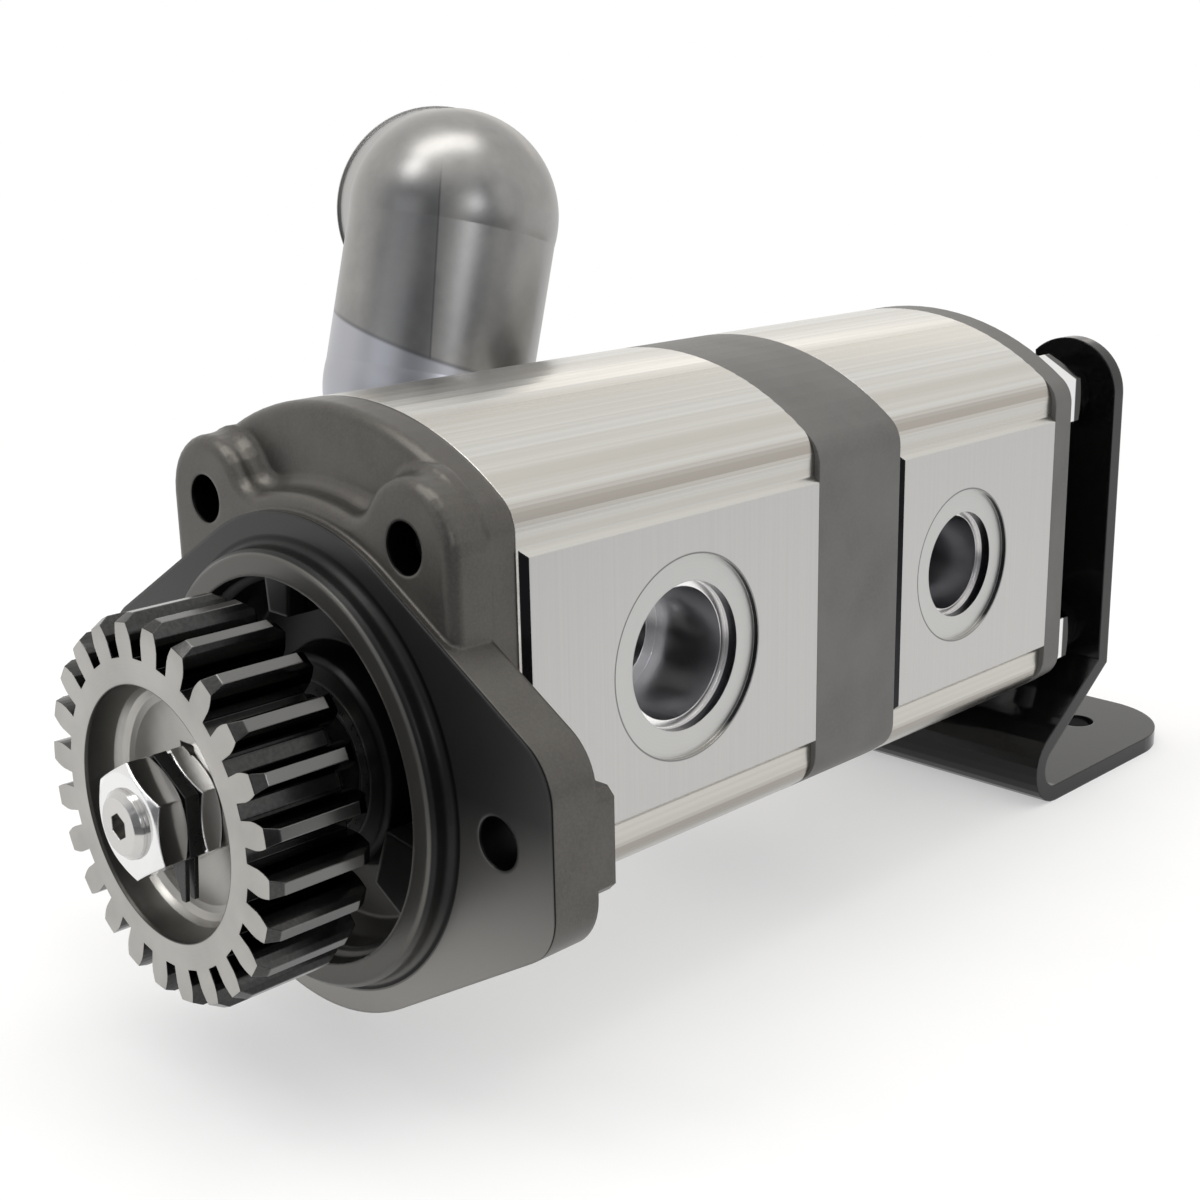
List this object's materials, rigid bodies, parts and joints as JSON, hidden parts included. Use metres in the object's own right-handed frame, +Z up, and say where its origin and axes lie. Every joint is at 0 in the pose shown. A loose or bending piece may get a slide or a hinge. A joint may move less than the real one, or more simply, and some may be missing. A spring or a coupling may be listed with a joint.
{
  "type": "external gear pump",
  "caption": "Tandem external gear pump: toothed drive gear, lozenge mounting flange with pilot, two ported aluminium sections, rear foot bracket and side suction elbow.",
  "frame": {"origin": "centre of the pilot, in the plane of the mounting face", "axes": "+Y along the shaft towards the rear, +X towards the pressure ports, +Z up"},
  "size_m": [0.1627, 0.2867, 0.1638],
  "materials": {
    "cast": "dark satin casting",
    "aluminium": "satin extrusion",
    "plate": "machined grey",
    "bearing": "machined",
    "bronze": "plain bearing",
    "rubber": "matt",
    "gear_steel": "ground and hardened",
    "shaft_steel": "ground",
    "bright": "bright plated",
    "oxide": "black oxide",
    "gloss_black": "gloss black",
    "pipe": "grey satin"
  },
  "bodies": {
    "housing": {"front_flange": "cast", "shaft_seal": "rubber", "seal_snap_ring": "oxide", "front_body": "aluminium", "middle_plate": "plate", "rear_body": "aluminium", "rear_cover": "plate", "flange_body_seal": "rubber", "plate_front_seal": "rubber", "plate_rear_seal": "rubber", "cover_body_seal": "rubber", "front_block_fore": "bearing", "front_block_aft": "bearing", "rear_block_fore": "bearing", "rear_block_aft": "bearing", "front_section_bushes": "bronze", "rear_section_bushes": "bronze", "front_pressure_seals": "rubber", "rear_pressure_seals": "rubber", "dowel_pins": "shaft_steel", "gallery_seals": "rubber", "tie_studs": "shaft_steel", "tie_washers": "bright", "tie_nuts": "bright", "bracket_sleeves": "gloss_black", "rear_bracket": "gloss_black", "bracket_nuts": "bright", "suction_neck": "pipe", "suction_elbow": "pipe", "elbow_screws": "oxide", "elbow_seal": "rubber"},
    "drive_shaft": {"front_drive_shaft_gear": "shaft_steel", "drive_gear": "gear_steel", "gear_key": "shaft_steel", "gear_nut": "bright", "tab_lock_washer": "oxide", "lock_nut": "bright"},
    "front_idler": {"front_driven_gear": "shaft_steel"},
    "coupling_sleeve": {"shaft_coupling": "shaft_steel"},
    "rear_drive": {"rear_drive_gear": "shaft_steel"},
    "rear_idler": {"rear_driven_gear": "shaft_steel"}
  },
  "joints": [
    {"name": "drive_spin", "type": "hinge", "parent": "housing", "child": "drive_shaft", "pos_m": [0, 0, 0], "axis": [0, 1, 0], "continuous": true},
    {"name": "front_idler_spin", "type": "hinge", "parent": "housing", "child": "front_idler", "pos_m": [0, 0, 0.0312], "axis": [0, 1, 0], "continuous": true},
    {"name": "coupling_spin", "type": "hinge", "parent": "housing", "child": "coupling_sleeve", "pos_m": [0, 0, 0], "axis": [0, 1, 0], "continuous": true},
    {"name": "rear_drive_spin", "type": "hinge", "parent": "housing", "child": "rear_drive", "pos_m": [0, 0, 0], "axis": [0, 1, 0], "continuous": true},
    {"name": "rear_idler_spin", "type": "hinge", "parent": "housing", "child": "rear_idler", "pos_m": [0, 0, 0.0312], "axis": [0, 1, 0], "continuous": true}
  ],
  "couplings": [
    {"joint": "front_idler_spin", "follows": "drive_spin", "ratio": -1},
    {"joint": "coupling_spin", "follows": "drive_spin", "ratio": 1},
    {"joint": "rear_drive_spin", "follows": "drive_spin", "ratio": 1},
    {"joint": "rear_idler_spin", "follows": "drive_spin", "ratio": -1}
  ]
}
